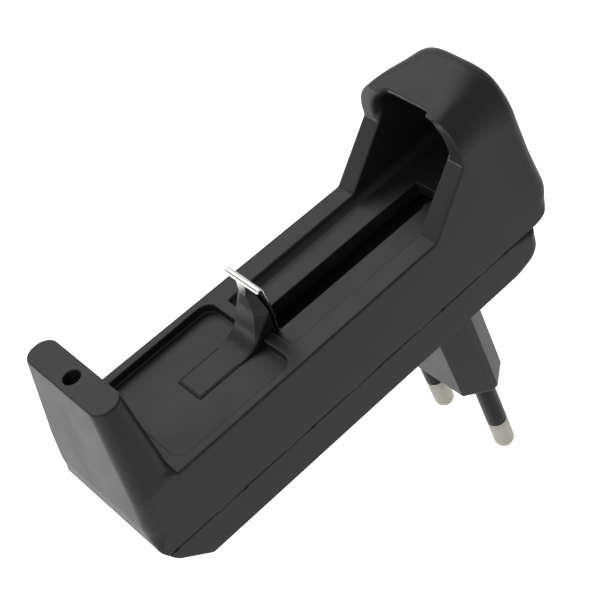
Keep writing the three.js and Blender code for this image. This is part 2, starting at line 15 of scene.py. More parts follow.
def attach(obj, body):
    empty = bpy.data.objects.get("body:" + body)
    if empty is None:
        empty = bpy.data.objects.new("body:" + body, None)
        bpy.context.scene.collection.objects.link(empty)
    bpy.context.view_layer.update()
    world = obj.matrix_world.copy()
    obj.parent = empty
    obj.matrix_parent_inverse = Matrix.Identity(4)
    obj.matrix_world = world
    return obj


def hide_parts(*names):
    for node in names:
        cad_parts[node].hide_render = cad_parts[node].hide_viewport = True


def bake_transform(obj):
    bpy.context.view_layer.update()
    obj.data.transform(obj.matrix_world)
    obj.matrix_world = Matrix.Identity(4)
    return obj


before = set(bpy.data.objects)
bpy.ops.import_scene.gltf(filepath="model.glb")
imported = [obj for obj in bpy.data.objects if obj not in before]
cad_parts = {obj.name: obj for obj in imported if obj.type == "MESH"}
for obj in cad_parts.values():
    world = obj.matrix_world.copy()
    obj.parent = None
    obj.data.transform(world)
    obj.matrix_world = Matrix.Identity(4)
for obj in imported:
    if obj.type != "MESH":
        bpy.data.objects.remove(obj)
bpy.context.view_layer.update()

# ---------- driving dimensions, in millimetres ----------
MM = 0.001
SEAT = 19.0  # height of the body's underside above the plug face
DEEP = 40.0  # more than the body's height
PARTING = 6.8  # this and the other heights are above the underside
RIM = 19.95
BAY_FLOOR = RIM - 1.7
FLOOR_UNDER = BAY_FLOOR - 2.85
TOP = 39.2
LIP_TOP = 37.4
TAB_TOP = 37.5
HALF_WIDTH = 14.02
TAPER = -0.019
FRONT_X = -69.3
CHAMFER_X = -61.5
CHAMFER_TOP = 8.6
PINCH_X = 19.8
BULGE_Z = 13.2
BULGE_OUT = 5.6
KNEE = (-67.2, 4.6)
CROWN_BACK_X = 25.4
CROWN_BACK_RADIUS = 3.6
TAB_INNER_X = -59.8
TAB_OUTER_X = -65.8
TAB_SLOPE = 0.1452  # how far the tab's outer face runs out for each millimetre down
TAB_HALF = 15.25  # half width of the tab at the rim, before its sides lean in
TAB_LEAN = 0.165
TAB_FROM_X = -55.0  # the outside follows the tab's shape from here to the front
HOOD_FROM_X = -2.0  # and the hood's from here to the back
FRONT_SHOULDER_Z = 13.4
HOOD_LIP_X = 10.4
HOOD_LIP_Z = 29.3
HOOD_BACK_INNER_X = 22.2
HOOD_CEILING = 36.6
CROWN_RADIUS_LIP = 6.8
CROWN_RADIUS_GAIN = 3.7  # from the lip to the back
CROWN_NARROWING = 1.2
BAY_HALF = 9.4
BAY_ROOM = 14.0  # half height of the sections that the bay is cut with
ARCH_FROM_Z = 26.0
FINGER_X = (-32.4, -30.1)
FINGER_TIP = 3.9
RECESS_X = (-57.8, -32.4)
RECESS_HALF = 12.8
SLOT_HALF = 3.0
SLOT_FRONT_X = 9.5
TRAVEL = 15.8
NECK_X = (-30.9, -29.0)
SLOT_REAR_X = NECK_X[0] - TRAVEL - 0.2
TAIL_END_X = SLOT_REAR_X - 0.3
TAIL_HALF = 3.6
TAIL_TOP = BAY_FLOOR + 0.27
CONTACT_X = -28.4
CONTACT_TOP = 30.1
LED_X = -62.9
SCREW_X = (-50.6, 14.0)
LAMP_BORE = 1.6
LAMP_SHELF_Z = 31.0  # the bore is wider below this height
POST_RADIUS = 2.6
SCREW_CORE = 1.05
SCREW_SHANK = 1.4
SCREW_HEAD = 2.5
RAIL_Y = (5.1, 6.3)
STOP_X = (-26.7, -25.5)
STOP_Y = (3.1, 5.2)
WALL = 2.0

# ---------- plug dimensions ----------
BLOCK_SIDE_X = 5.24
BLOCK_SHOULDER_Y = 9.9
BLOCK_END_X = 0.8
BLOCK_END_Y = 13.75
BLOCK_DRAFT = 0.012
OPENING_HALF = (4.9, 11.8)  # in the lower housing's floor
FLANGE_HALF = (4.8, 11.7)
PLATE_HALF = (6.6, 11.6)
PIN_RADIUS = 2.0
PIN_CORE = 1.6  # where the sleeve covers it
PIN_TILT = 0.021
PIN_HALF_SPACING = 9.3
PIN_LENGTH = 19.0
SLEEVE_LENGTH = 11.4
TURNED_SEGMENTS = 48


# ---------- distance functions ----------
def step(v, lo, hi):
    t = np.clip((v - lo) / (hi - lo), 0, 1)
    return t * t * (3 - 2 * t)


def cut(a, b, r):
    """Both a and b, with their meeting edge rounded to radius r."""
    u = np.maximum(a + r, 0)
    v = np.maximum(b + r, 0)
    return np.minimum(-r, np.maximum(a, b)) + np.sqrt(u * u + v * v)


def join(a, b, r):
    """Either a or b, with a fillet of radius r in the corner between them."""
    return -cut(-a, -b, r)


def less(a, b, r):
    """What is left of a without b, with the edge between them rounded."""
    return cut(a, -b, r)


def slab(v, lo, hi):
    return np.abs(v - (lo + hi) / 2) - (hi - lo) / 2


def rect(u, v, half_u, half_v, r):
    qu = np.abs(u) - half_u + r
    qv = np.abs(v) - half_v + r
    return np.minimum(np.maximum(qu, qv), 0) + np.hypot(np.maximum(qu, 0), np.maximum(qv, 0)) - r


def poly(u, v, points):
    """Signed distance to a closed outline, negative inside."""
    best = None
    sign = 1.0
    for (ax, ay), (bx, by) in zip(points, points[-1:] + points[:-1]):
        ex, ey = bx - ax, by - ay
        wx, wy = u - ax, v - ay
        t = np.clip((wx * ex + wy * ey) / (ex * ex + ey * ey), 0, 1)
        gap = (wx - ex * t) ** 2 + (wy - ey * t) ** 2
        best = gap if best is None else np.minimum(best, gap)
        c1, c2, c3 = v >= ay, v < by, ex * wy > ey * wx
        sign = np.where((c1 & c2 & c3) | (~c1 & ~c2 & ~c3), -sign, sign)
    return sign * np.sqrt(best)


def rounded(corners):
    """An outline whose corners (u, v, radius) are replaced by arcs."""
    steps = 5
    out = []
    n = len(corners)
    for i, (x, y, r) in enumerate(corners):
        p = Vector((x, y))
        if not r:
            out.append((x, y))
            continue
        a = Vector(corners[i - 1][:2]) - p
        b = Vector(corners[(i + 1) % n][:2]) - p
        la, lb = a.length, b.length
        a.normalize()
        b.normalize()
        turn = a.angle(b)
        reach = min(r / math.tan(turn / 2), 0.48 * la, 0.48 * lb)
        r = reach * math.tan(turn / 2)
        centre = p + (a + b).normalized() * (r / math.sin(turn / 2))
        start, end = p + a * reach - centre, p + b * reach - centre
        sweep = start.angle_signed(end)
        for k in range(steps + 1):
            q = start.copy()
            q.rotate(Matrix.Rotation(-sweep * k / steps, 2))
            out.append((centre.x + q.x, centre.y + q.y))
    return out


def arc(cx, cy, rx, ry, a0, a1, steps=8):
    """Points of an ellipse between two angles in degrees."""
    return [
        (cx + rx * math.cos(a), cy + ry * math.sin(a))
        for a in [math.radians(a0 + (a1 - a0) * k / steps) for k in range(steps + 1)]
    ]


def chamfer_at(z):
    """How far the front reaches at a height below CHAMFER_TOP, where it slopes in two stretches."""
    low = CHAMFER_X + (KNEE[0] - CHAMFER_X) * z / KNEE[1]
    high = KNEE[0] + (FRONT_X - KNEE[0]) * (z - KNEE[1]) / (CHAMFER_TOP - KNEE[1])
    return np.where(z < KNEE[1], low, high)


def half_width(x):
    """Half the body's width, which grows a little towards the tab."""
    return HALF_WIDTH + TAPER * x


# ---------- meshing ----------
def surface_net(f, low, high, cell):
    """Points and quads of the surface where f is 0, inside the box from low to high."""
    axes = [np.arange(lo - cell, hi + 2 * cell, cell, dtype=np.float64) for lo, hi in zip(low, high)]
    x, y, z = axes[0][:, None, None], axes[1][None, :, None], axes[2][None, None, :]
    shape = tuple(len(a) for a in axes)
    values = np.broadcast_to(f(x, y, z), shape).astype(np.float32)
    inside = values < 0
    dims = tuple(n - 1 for n in shape)
    count = np.zeros(dims, np.uint8)
    for i in (0, 1):
        for j in (0, 1):
            for k in (0, 1):
                count += inside[i : i + dims[0], j : j + dims[1], k : k + dims[2]]
    active = (count > 0) & (count < 8)
    cells = np.argwhere(active)
    number = np.full(dims, -1, np.int64)
    number[active] = np.arange(len(cells))
    total = np.zeros((len(cells), 3))
    hits = np.zeros(len(cells))
    corners = [(i, j, k) for i in (0, 1) for j in (0, 1) for k in (0, 1)]
    for a in corners:
        for axis in range(3):
            if a[axis]:
                continue
            b = tuple(v + (n == axis) for n, v in enumerate(a))
            va = values[cells[:, 0] + a[0], cells[:, 1] + a[1], cells[:, 2] + a[2]]
            vb = values[cells[:, 0] + b[0], cells[:, 1] + b[1], cells[:, 2] + b[2]]
            cross = (va < 0) != (vb < 0)
            t = np.where(cross, va / np.where(cross, va - vb, 1), 0)
            point = np.tile(np.array(a, float), (len(cells), 1))
            point[:, axis] += t
            total += np.where(cross[:, None], point, 0)
            hits += cross
    origin = np.array([a[0] for a in axes])
    points = origin + (cells + total / hits[:, None]) * cell
    quads = []
    for axis in range(3):
        u, v = (axis + 1) % 3, (axis + 2) % 3
        first = [slice(1, -1)] * 3
        second = [slice(1, -1)] * 3
        first[axis], second[axis] = slice(0, -1), slice(1, None)
        a, b = inside[tuple(first)], inside[tuple(second)]
        offset = np.ones(3, int)
        offset[axis] = 0
        edges = np.argwhere(a != b) + offset
        out = a[tuple((edges - offset).T)]
        ring = []
        for du, dv in ((0, 0), (-1, 0), (-1, -1), (0, -1)):
            at = edges.copy()
            at[:, u] += du
            at[:, v] += dv
            ring.append(number[tuple(at.T)])
        ring = np.stack(ring, 1)
        quads.append(np.where(out[:, None], ring, ring[:, ::-1]))
    return points, np.concatenate(quads)


def gradient(f, p, h=0.02):
    """Unit normals of f at the points p, from differences over h."""
    g = np.empty_like(p)
    for axis in range(3):
        d = np.zeros(3)
        d[axis] = h
        a, b = p + d, p - d
        g[:, axis] = f(a[:, 0], a[:, 1], a[:, 2]) - f(b[:, 0], b[:, 1], b[:, 2])
    length = np.linalg.norm(g, axis=1)
    return g / np.maximum(length, 1e-9)[:, None]


def sculpt(name, f, low, high, cell, keep, body, material):
    """A piece made from a distance function, with a share of its faces kept."""
    points, quads = surface_net(f, low, high, cell)
    for _ in range(2):
        pull = np.clip(f(points[:, 0], points[:, 1], points[:, 2]), -cell / 2, cell / 2)
        points = points - gradient(f, points) * pull[:, None]
    mesh = bpy.data.meshes.new(name)
    mesh.vertices.add(len(points))
    mesh.vertices.foreach_set("co", ((points + (0, 0, SEAT)) * MM).astype(np.float32).ravel())
    mesh.loops.add(4 * len(quads))
    mesh.loops.foreach_set("vertex_index", quads.ravel().astype(np.int32))
    mesh.polygons.add(len(quads))
    mesh.polygons.foreach_set("loop_start", np.arange(0, 4 * len(quads), 4, dtype=np.int32))
    mesh.update(calc_edges=True)
    mesh.validate()
    piece = bpy.data.objects.new(name, mesh)
    bpy.context.scene.collection.objects.link(piece)
    thin(piece, keep)
    mesh = piece.data
    mesh.shade_smooth()
    settled = np.empty(len(mesh.vertices) * 3, np.float32)
    mesh.vertices.foreach_get("co", settled)
    settled = settled.reshape(-1, 3).astype(float) / MM - (0, 0, SEAT)
    mesh.normals_split_custom_set_from_vertices(gradient(f, settled, 0.05))
    return dress(piece, body, material)


def thin(piece, keep):
    """Keeps a share of the faces: big ones where the surface is flat, small ones where it bends."""
    modifier = piece.modifiers.new("thin", "DECIMATE")
    modifier.ratio = keep
    graph = bpy.context.evaluated_depsgraph_get()
    made = bpy.data.meshes.new_from_object(piece.evaluated_get(graph))
    piece.modifiers.clear()
    old, piece.data = piece.data, made
    bpy.data.meshes.remove(old)


def dress(piece, body, material):
    """Gives a piece its one material and the body it rides on."""
    piece.data.materials.clear()
    piece.data.materials.append(material)
    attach(piece, body)
    return piece


# ---------- materials ----------
def new_material(name):
    m = bpy.data.materials.new(name)
    m.use_nodes = True
    return m, m.node_tree, m.node_tree.nodes["Principled BSDF"]


def noise(tree, scale, detail, rough=0.5):
    n = tree.nodes.new("ShaderNodeTexNoise")
    n.inputs["Scale"].default_value = scale
    n.inputs["Detail"].default_value = detail
    n.inputs["Roughness"].default_value = rough
    where = tree.nodes.new("ShaderNodeTexCoord")
    tree.links.new(where.outputs["Object"], n.inputs["Vector"])
    return n


def ramp(tree, source, low, high, to_low, to_high):
    r = tree.nodes.new("ShaderNodeMapRange")
    r.inputs["From Min"].default_value = low
    r.inputs["From Max"].default_value = high
    r.inputs["To Min"].default_value = to_low
    r.inputs["To Max"].default_value = to_high
    tree.links.new(source, r.inputs["Value"])
    return r.outputs["Result"]


def tint(tree, source, dark, light):
    c = tree.nodes.new("ShaderNodeValToRGB")
    c.color_ramp.elements[0].position = 0.3
    c.color_ramp.elements[1].position = 0.7
    c.color_ramp.elements[0].color = (*dark, 1)
    c.color_ramp.elements[1].color = (*light, 1)
    tree.links.new(source, c.inputs["Fac"])
    return c.outputs["Color"]


def bump(tree, source, strength, distance):
    b = tree.nodes.new("ShaderNodeBump")
    b.inputs["Strength"].default_value = strength
    b.inputs["Distance"].default_value = distance
    tree.links.new(source, b.inputs["Height"])
    return b.outputs["Normal"]


def moulded(name, dark, light, rough, grain=2600, depth=0.000012, specular=0.5):
    """Moulded plastic with a fine spark-eroded grain and slight handling marks."""
    m, tree, shader = new_material(name)
    cloud = noise(tree, 90, 4, 0.6)
    fine = noise(tree, grain, 2, 0.6)
    tree.links.new(tint(tree, cloud.outputs["Fac"], dark, light), shader.inputs["Base Color"])
    tree.links.new(ramp(tree, cloud.outputs["Fac"], 0.3, 0.7, *rough), shader.inputs["Roughness"])
    tree.links.new(bump(tree, fine.outputs["Fac"], 0.35, depth), shader.inputs["Normal"])
    shader.inputs["Specular IOR Level"].default_value = specular
    return m


def metal(name, dark, light, rough, grain, stretch):
    """Plated or rolled metal with drawn lines and a dull patch here and there."""
    m, tree, shader = new_material(name)
    cloud = noise(tree, 260, 4, 0.6)
    fine = noise(tree, grain, 3, 0.6)
    squeeze = tree.nodes.new("ShaderNodeMapping")
    squeeze.inputs["Scale"].default_value = stretch
    where = tree.nodes.new("ShaderNodeTexCoord")
    tree.links.new(where.outputs["Object"], squeeze.inputs["Vector"])
    tree.links.new(squeeze.outputs["Vector"], fine.inputs["Vector"])
    tree.links.new(tint(tree, cloud.outputs["Fac"], dark, light), shader.inputs["Base Color"])
    tree.links.new(ramp(tree, cloud.outputs["Fac"], 0.3, 0.7, *rough), shader.inputs["Roughness"])
    tree.links.new(bump(tree, fine.outputs["Fac"], 0.3, 0.000006), shader.inputs["Normal"])
    shader.inputs["Metallic"].default_value = 1.0
    return m


BLACK = moulded(
    "black_abs", (0.0075, 0.0075, 0.0083), (0.0105, 0.0105, 0.0115), (0.38, 0.48), specular=0.25
)
SLEEVE = moulded(
    "sleeve_black", (0.007, 0.007, 0.008), (0.010, 0.010, 0.011), (0.3, 0.42), 1800, specular=0.12
)
LINER = moulded("liner_black", (0.008, 0.008, 0.009), (0.012, 0.012, 0.013), (0.5, 0.6))
NICKEL = metal("nickel", (0.23, 0.22, 0.19), (0.33, 0.32, 0.28), (0.32, 0.46), 700, (1, 1, 0.15))
SPRING = metal("spring_steel", (0.46, 0.46, 0.44), (0.58, 0.58, 0.56), (0.16, 0.28), 900, (0.2, 1, 1))
BOARD = moulded("board", (0.34, 0.2, 0.07), (0.46, 0.29, 0.12), (0.5, 0.65), 1400, 0.00002)
FERRITE = moulded("ferrite", (0.03, 0.03, 0.032), (0.05, 0.05, 0.052), (0.6, 0.75), 900, 0.00003)
TAPE = moulded("winding_tape", (0.6, 0.4, 0.03), (0.72, 0.5, 0.06), (0.2, 0.3), 500, 0.00001)
CAN = moulded("capacitor_sleeve", (0.012, 0.02, 0.07), (0.02, 0.035, 0.11), (0.2, 0.3), 500, 0.00001)
EPOXY = moulded("black_epoxy", (0.012, 0.012, 0.012), (0.02, 0.02, 0.02), (0.5, 0.65), 2000, 0.00001)
RESISTOR = moulded("resistor_body", (0.17, 0.21, 0.19), (0.24, 0.29, 0.27), (0.4, 0.55), 1200, 0.00001)
DISC = moulded("blue_epoxy", (0.02, 0.12, 0.34), (0.03, 0.18, 0.46), (0.15, 0.28), 600, 0.00001)
WIRE_BLACK = moulded("wire_black", (0.01, 0.01, 0.01), (0.018, 0.018, 0.018), (0.3, 0.4), 700, 0.000008)
WIRE_RED = moulded("wire_red", (0.3, 0.008, 0.008), (0.4, 0.014, 0.014), (0.3, 0.4), 700, 0.000008)
LENS = moulded("lamp_lens", (0.62, 0.62, 0.6), (0.75, 0.75, 0.72), (0.06, 0.12), 300, 0.000004)

# ---------- upper housing ----------
HOOD_BACK = arc(PINCH_X, BULGE_Z, BULGE_OUT, BULGE_Z - PARTING, -90, 0) + [
    (25.1, 17.0),
    (24.9, 21.0),
    (25.0, 28.0),
]
CROWN_BACK = arc(
    CROWN_BACK_X - CROWN_BACK_RADIUS,
    TOP - CROWN_BACK_RADIUS,
    CROWN_BACK_RADIUS,
    CROWN_BACK_RADIUS,
    0,
    90,
)
UPPER_PROFILE = (
    [(float(chamfer_at(PARTING)), PARTING)]
    + HOOD_BACK
    + CROWN_BACK
    + rounded(
        [
            (11.3, LIP_TOP, 0.45),
            (11.0, LIP_TOP - 1.6, 0.0),
            (HOOD_LIP_X, HOOD_LIP_Z, 0.7),
            (0.0, RIM, 0.6),
            (TAB_INNER_X, RIM, 0.35),
            (TAB_INNER_X, TAB_TOP, 0.0),
            (TAB_OUTER_X, TAB_TOP, 0.0),
            (FRONT_X, FRONT_SHOULDER_Z, 6.0),
            (FRONT_X, CHAMFER_TOP, 2.0),
        ]
    )
)
OVER_TAB_Z = 60.0  # the tab's outline runs on past its top, which is cut flat later
TAB_PROFILE = rounded(
    [
        (float(chamfer_at(PARTING)), PARTING, 0.0),
        (-40.0, PARTING, 0.0),
        (-40.0, RIM, 0.0),
        (TAB_INNER_X, RIM, 0.35),
        (TAB_INNER_X, OVER_TAB_Z, 0.0),
        (TAB_OUTER_X + (OVER_TAB_Z - TAB_TOP) * TAB_SLOPE, OVER_TAB_Z, 0.0),
        (FRONT_X, FRONT_SHOULDER_Z, 6.0),
        (FRONT_X, CHAMFER_TOP, 2.0),
    ]
)
BAY_SIDE = rounded(
    [
        (FINGER_X[1], BAY_FLOOR - 1, 0),
        (HOOD_BACK_INNER_X, BAY_FLOOR - 1, 0),
        (HOOD_BACK_INNER_X, HOOD_CEILING + 0.1, 4.8),
        (HOOD_LIP_X + 1, HOOD_CEILING + 0.1, 0),
        (HOOD_LIP_X - 1, TOP + 4, 0),
        (FINGER_X[1], TOP + 4, 0),
    ]
)


def crown(x, y, z):
    """The hood from the front: nearly flat on top at the lip, higher and rounder towards the back."""
    back = step(x, 10.5, 24.0)
    radius = CROWN_RADIUS_LIP + CROWN_RADIUS_GAIN * back
    half = half_width(x) - CROWN_NARROWING * back * step(z, 12.0, 38.0)
    rise = np.sin(np.clip((x - HOOD_LIP_X) / 13.0, 0, 1) * math.pi / 2)
    top = LIP_TOP + (TOP - LIP_TOP) * rise
    return rect(y, z - top + DEEP, half, DEEP, radius)


def upper_outer(x, y, z):
    """The outside of the upper housing: hood, low middle and tab, nearly sharp at the joint line."""
    side = np.abs(y) - half_width(x)
    seam = 0.02 + 0.38 * step(z, PARTING + 0.2, PARTING + 2.2)
    hood_profile = poly(x, z, UPPER_PROFILE)
    soft = seam + 2.0 * step(x, 13.5, 20.5) * step(z, PARTING + 0.4, 10.5)
    hood = cut(hood_profile, crown(x, y, z), soft)
    low = cut(hood_profile, side, seam)
    profile = poly(x, z, TAB_PROFILE)
    leaning = (np.abs(y) - TAB_HALF + TAB_LEAN * (z - RIM)) / math.hypot(1.0, TAB_LEAN)
    front = step(-x, 61.5, 66.0) * step(z, 8.0, 12.0)
    corner = seam + 2.4 * np.maximum(step(z, RIM - 0.2, RIM + 2.0), front)
    tab = cut(cut(profile, np.maximum(side, leaning), corner), z - TAB_TOP, 0.35)
    return np.where(x > HOOD_FROM_X, hood, np.where(x < TAB_FROM_X, tab, low))


def bay(x, y, z):
    """The room for the cell, with an arched end under the hood."""
    low = rect(y, z - (BAY_FLOOR + BAY_ROOM), BAY_HALF, BAY_ROOM, 1.6)
    arch = rect(y, z - (HOOD_CEILING - BAY_ROOM), BAY_HALF, BAY_ROOM, 6.0)
    section = np.where(z < ARCH_FROM_Z, low, arch)
    in_the_open = (x < HOOD_LIP_X - 1.0) & (z > ARCH_FROM_Z)
    section = np.where(in_the_open, np.abs(y) - BAY_HALF, section)
    back = poly(x, z, BAY_SIDE)
    return cut(section, back, 0.5)


def plan_box(x, y, x0, x1, half, r):
    return rect(x - (x0 + x1) / 2, y, (x1 - x0) / 2, half, r)


def upper_housing(x, y, z):
    """The outside less the bay, recess, slot, tunnel for the slider's tail, lamp bore and hollow."""
    d = upper_outer(x, y, z)
    lip = step(z, 29.0, 31.0) * step(-x, -14.0, -11.5)
    d = less(d, bay(x, y, z), 0.35 + 1.5 * lip)
    recess = cut(plan_box(x, y, *RECESS_X, RECESS_HALF, 2.6), BAY_FLOOR - z, 0.3)
    d = less(d, recess, 0.15)
    gap = plan_box(x, y, FINGER_X[0] - 1.2, FINGER_X[1] + 1.2, FINGER_TIP, 0.2)
    d = less(d, np.maximum(gap, BAY_FLOOR - z), 0.25)
    notch = cut(plan_box(x, y, HOOD_LIP_X - 6, HOOD_LIP_X + 1.9, 5.9, 0.8), 33.0 - z, 0.2)
    d = less(d, notch, 0.35)
    slot = np.maximum(plan_box(x, y, SLOT_REAR_X, SLOT_FRONT_X, SLOT_HALF, 0.3), z - BAY_FLOOR - 1)
    d = less(d, slot, 0.15)
    way = np.maximum(slab(x, TAIL_END_X - TRAVEL - 0.3, RECESS_X[0] + 0.3), np.abs(y) - TAIL_HALF - 0.2)
    d = less(d, np.maximum(way, slab(z, BAY_FLOOR, BAY_FLOOR + 0.7)), 0.08)
    lamp = np.hypot(x - LED_X, y) - np.where(z > LAMP_SHELF_Z, LAMP_BORE, LAMP_BORE + 0.4)
    d = less(d, np.maximum(lamp, 29.0 - z), 0.15)
    lead = np.maximum(slab(x, -66.0, -63.9), np.abs(y) - 2.0)
    lead = np.maximum(lead, slab(z, 12.0, LAMP_SHELF_Z))
    d = np.maximum(d, -lead)
    return np.maximum(d, -upper_hollow(x, y, z))


def upper_hollow(x, y, z):
    """The space inside, with rails for the keeper, stops for the slider and the screw posts."""
    walls = np.maximum(np.abs(y) - half_width(x) + WALL, x - PINCH_X + WALL)
    walls = np.maximum(walls, np.where(z < CHAMFER_TOP, chamfer_at(z), FRONT_X) + WALL + 0.4 - x)
    hollow = np.maximum(walls, z - FLOOR_UNDER)
    ya = np.abs(y)
    rail = np.maximum(slab(ya, *RAIL_Y), slab(x, SLOT_REAR_X - 1.6, SLOT_FRONT_X + 2))
    hollow = np.maximum(hollow, -np.maximum(rail, 12.4 - z))
    stop = np.maximum(slab(ya, *STOP_Y), slab(x, *STOP_X))
    hollow = np.maximum(hollow, -np.maximum(stop, FLOOR_UNDER - 1.6 - z))
    for at in SCREW_X:
        post = np.hypot(x - at, y)
        hollow = np.maximum(hollow, -np.maximum(post - POST_RADIUS, PARTING - z))
        hollow = np.minimum(hollow, np.maximum(post - SCREW_CORE, z - 14.0))
    return hollow


# ---------- lower housing ----------
LOWER_TOP = PARTING - 0.02
RIB_X = (-58.0, -18.0)
LOWER_PROFILE = rounded(
    [
        (float(chamfer_at(LOWER_TOP)), LOWER_TOP, 0.0),
        (*KNEE, 4.0),
        (CHAMFER_X, 0.0, 1.2),
        (19.4, 0.0, 4.6),
        (PINCH_X + 0.2, LOWER_TOP, 0.0),
    ]
)


def lower_housing(x, y, z):
    """The tray under the joint line, with ribs, screw posts and an opening for the plug block."""
    profile = poly(x, z, LOWER_PROFILE)
    side = np.abs(y) - half_width(x)
    d = cut(profile, side, 0.4 - 0.38 * step(z, 4.0, 6.4) + 1.6 * step(x, 12.0, 18.5))
    back = x - PINCH_X + 2.6 + 0.35 * np.maximum(5.2 - z, 0)
    inner = np.maximum(np.abs(y) - half_width(x) + WALL, back)
    inner = np.maximum(inner, chamfer_at(z) + 2.4 - x)
    inner = np.maximum(inner, WALL - z)
    for at in RIB_X:
        inner = np.maximum(inner, -np.maximum(slab(x, at - 0.7, at + 0.7), z - 3.5))
    for at in SCREW_X:
        inner = np.maximum(inner, -np.maximum(np.hypot(x - at, y) - POST_RADIUS, z - 6.4))
    d = np.maximum(d, -inner)
    d = less(d, np.maximum(rect(x, y, *OPENING_HALF, 0.3), z - 2.5), 0.1)
    for at in SCREW_X:
        bore = np.hypot(x - at, y)
        d = np.maximum(d, SCREW_SHANK - bore)
        d = less(d, np.maximum(bore - SCREW_HEAD, z - 1.2), 0.15)
    return d


# ---------- plug ----------
BLOCK_PLAN = [
    (-BLOCK_SIDE_X, -BLOCK_SHOULDER_Y),
    (-BLOCK_END_X, -BLOCK_END_Y),
    (BLOCK_END_X, -BLOCK_END_Y),
    (BLOCK_SIDE_X, -BLOCK_SHOULDER_Y),
    (BLOCK_SIDE_X, BLOCK_SHOULDER_Y),
    (BLOCK_END_X, BLOCK_END_Y),
    (-BLOCK_END_X, BLOCK_END_Y),
    (-BLOCK_SIDE_X, BLOCK_SHOULDER_Y),
]


def plug_block(x, y, z):
    """The block that carries the pins, with a flange and a plate that hold it in the housing."""
    draft = BLOCK_DRAFT * (SEAT - np.clip(z + SEAT, 0, SEAT))
    d = cut(poly(x, y, BLOCK_PLAN) + draft, -SEAT - z, 0.5)
    d = np.maximum(d, z + 0.06)
    flange = np.maximum(rect(x, y, *FLANGE_HALF, 0.3), slab(z, -0.5, 2.4))
    plate = np.maximum(rect(x, y, *PLATE_HALF, 0.4), slab(z, WALL + 0.05, 3.4))
    d = np.minimum(d, np.minimum(flange, plate))
    for s in (-1, 1):
        d = less(d, pin_axis(s, x, y, z) - PIN_RADIUS - 0.06, 0.25)
    return d


def pin_axis(s, x, y, z):
    """Distance from one pin's leaning axis."""
    return np.hypot(x, (y - s * PIN_HALF_SPACING) - s * PIN_TILT * (z + SEAT))


def lathe(name, profile, place, body, material):
    """A turned piece from a profile of (radius, height), in millimetres."""
    bm = bmesh.new()
    rings = []
    for r, h in profile:
        if r < 1e-6:
            rings.append([bm.verts.new((0, 0, h))])
        else:
            rings.append(
                [
                    bm.verts.new((r * math.cos(a), r * math.sin(a), h))
                    for a in (2 * math.pi * k / TURNED_SEGMENTS for k in range(TURNED_SEGMENTS))
                ]
            )
    for low, high in zip(rings, rings[1:]):
        for k in range(TURNED_SEGMENTS):
            n = (k + 1) % TURNED_SEGMENTS
            corners = [low[k % len(low)], low[n % len(low)], high[n % len(high)], high[k % len(high)]]
            unique = list(dict.fromkeys(corners))
            if len(unique) > 2:
                bm.faces.new(unique)
    bmesh.ops.remove_doubles(bm, verts=bm.verts, dist=1e-5)
    bmesh.ops.recalc_face_normals(bm, faces=bm.faces)
    bmesh.ops.transform(bm, matrix=Matrix.Scale(MM, 4) @ place, verts=bm.verts)
    mesh = bpy.data.meshes.new(name)
    bm.to_mesh(mesh)
    bm.free()
    mesh.shade_smooth()
    mesh.set_sharp_from_angle(angle=math.radians(32))
    piece = bpy.data.objects.new(name, mesh)
    bpy.context.scene.collection.objects.link(piece)
    return dress(piece, body, material)


def pin_place(s):
    """Where pin s stands: -1 near the photo's camera, 1 far from it, with their tips leaning in."""
    return Matrix.Translation((0, s * PIN_HALF_SPACING, 0)) @ Matrix.Rotation(-s * PIN_TILT, 4, "X")


def pin_profile():
    """From the rounded tip to the solder end inside, in heights above the block's end face."""
    tip = [
        (PIN_RADIUS * math.sin(a), -PIN_LENGTH + 1.9 * (1 - math.cos(a)))
        for a in np.linspace(0, math.pi / 2, 12)
    ]
    return tip + [
        (PIN_RADIUS, -SLEEVE_LENGTH - 0.34),
        (1.93, -SLEEVE_LENGTH - 0.22),
        (PIN_CORE, -SLEEVE_LENGTH - 0.18),
        (PIN_CORE, 23.4),
        (0.7, 23.4),
        (0.7, 25.6),
        (0.0, 25.6),
    ]


def sleeve_profile():
    """The thin insulating tube, in heights above the block's end face."""
    return [
        (1.64, -SLEEVE_LENGTH),
        (1.88, -SLEEVE_LENGTH),
        (1.97, -SLEEVE_LENGTH + 0.09),
        (1.99, -SLEEVE_LENGTH + 0.3),
        (1.99, -2.0),
        (2.0, -0.5),
        (2.0, 2.4),
        (1.64, 2.4),
        (1.64, -SLEEVE_LENGTH),
    ]


# ---------- slider ----------
RAMP = rounded(
    [
        (-20.0, 14.0, 0.0),
        (-20.0, CONTACT_TOP - 1.3, 0.0),
        (-29.9, CONTACT_TOP - 1.3, 0.5),
        (-31.1, 24.6, 9.0),
        (-33.2, 20.2, 9.0),
        (-35.4, BAY_FLOOR + 0.5, 6.0),
        (-38.0, TAIL_TOP, 0.0),
        (-38.0, 14.0, 0.0),
    ]
)


# half widths of the thumb rest as (height, half width): of its flat back, and at the contact sheet
BACK_HALF = [(18.3, 3.6), (20.5, 3.1), (24.0, 2.5), (27.5, 0.9), (28.8, 0.4)]
EDGE_HALF = [(18.3, 3.6), (20.5, 3.7), (23.0, 4.3), (26.0, 4.75), (28.8, 4.7)]


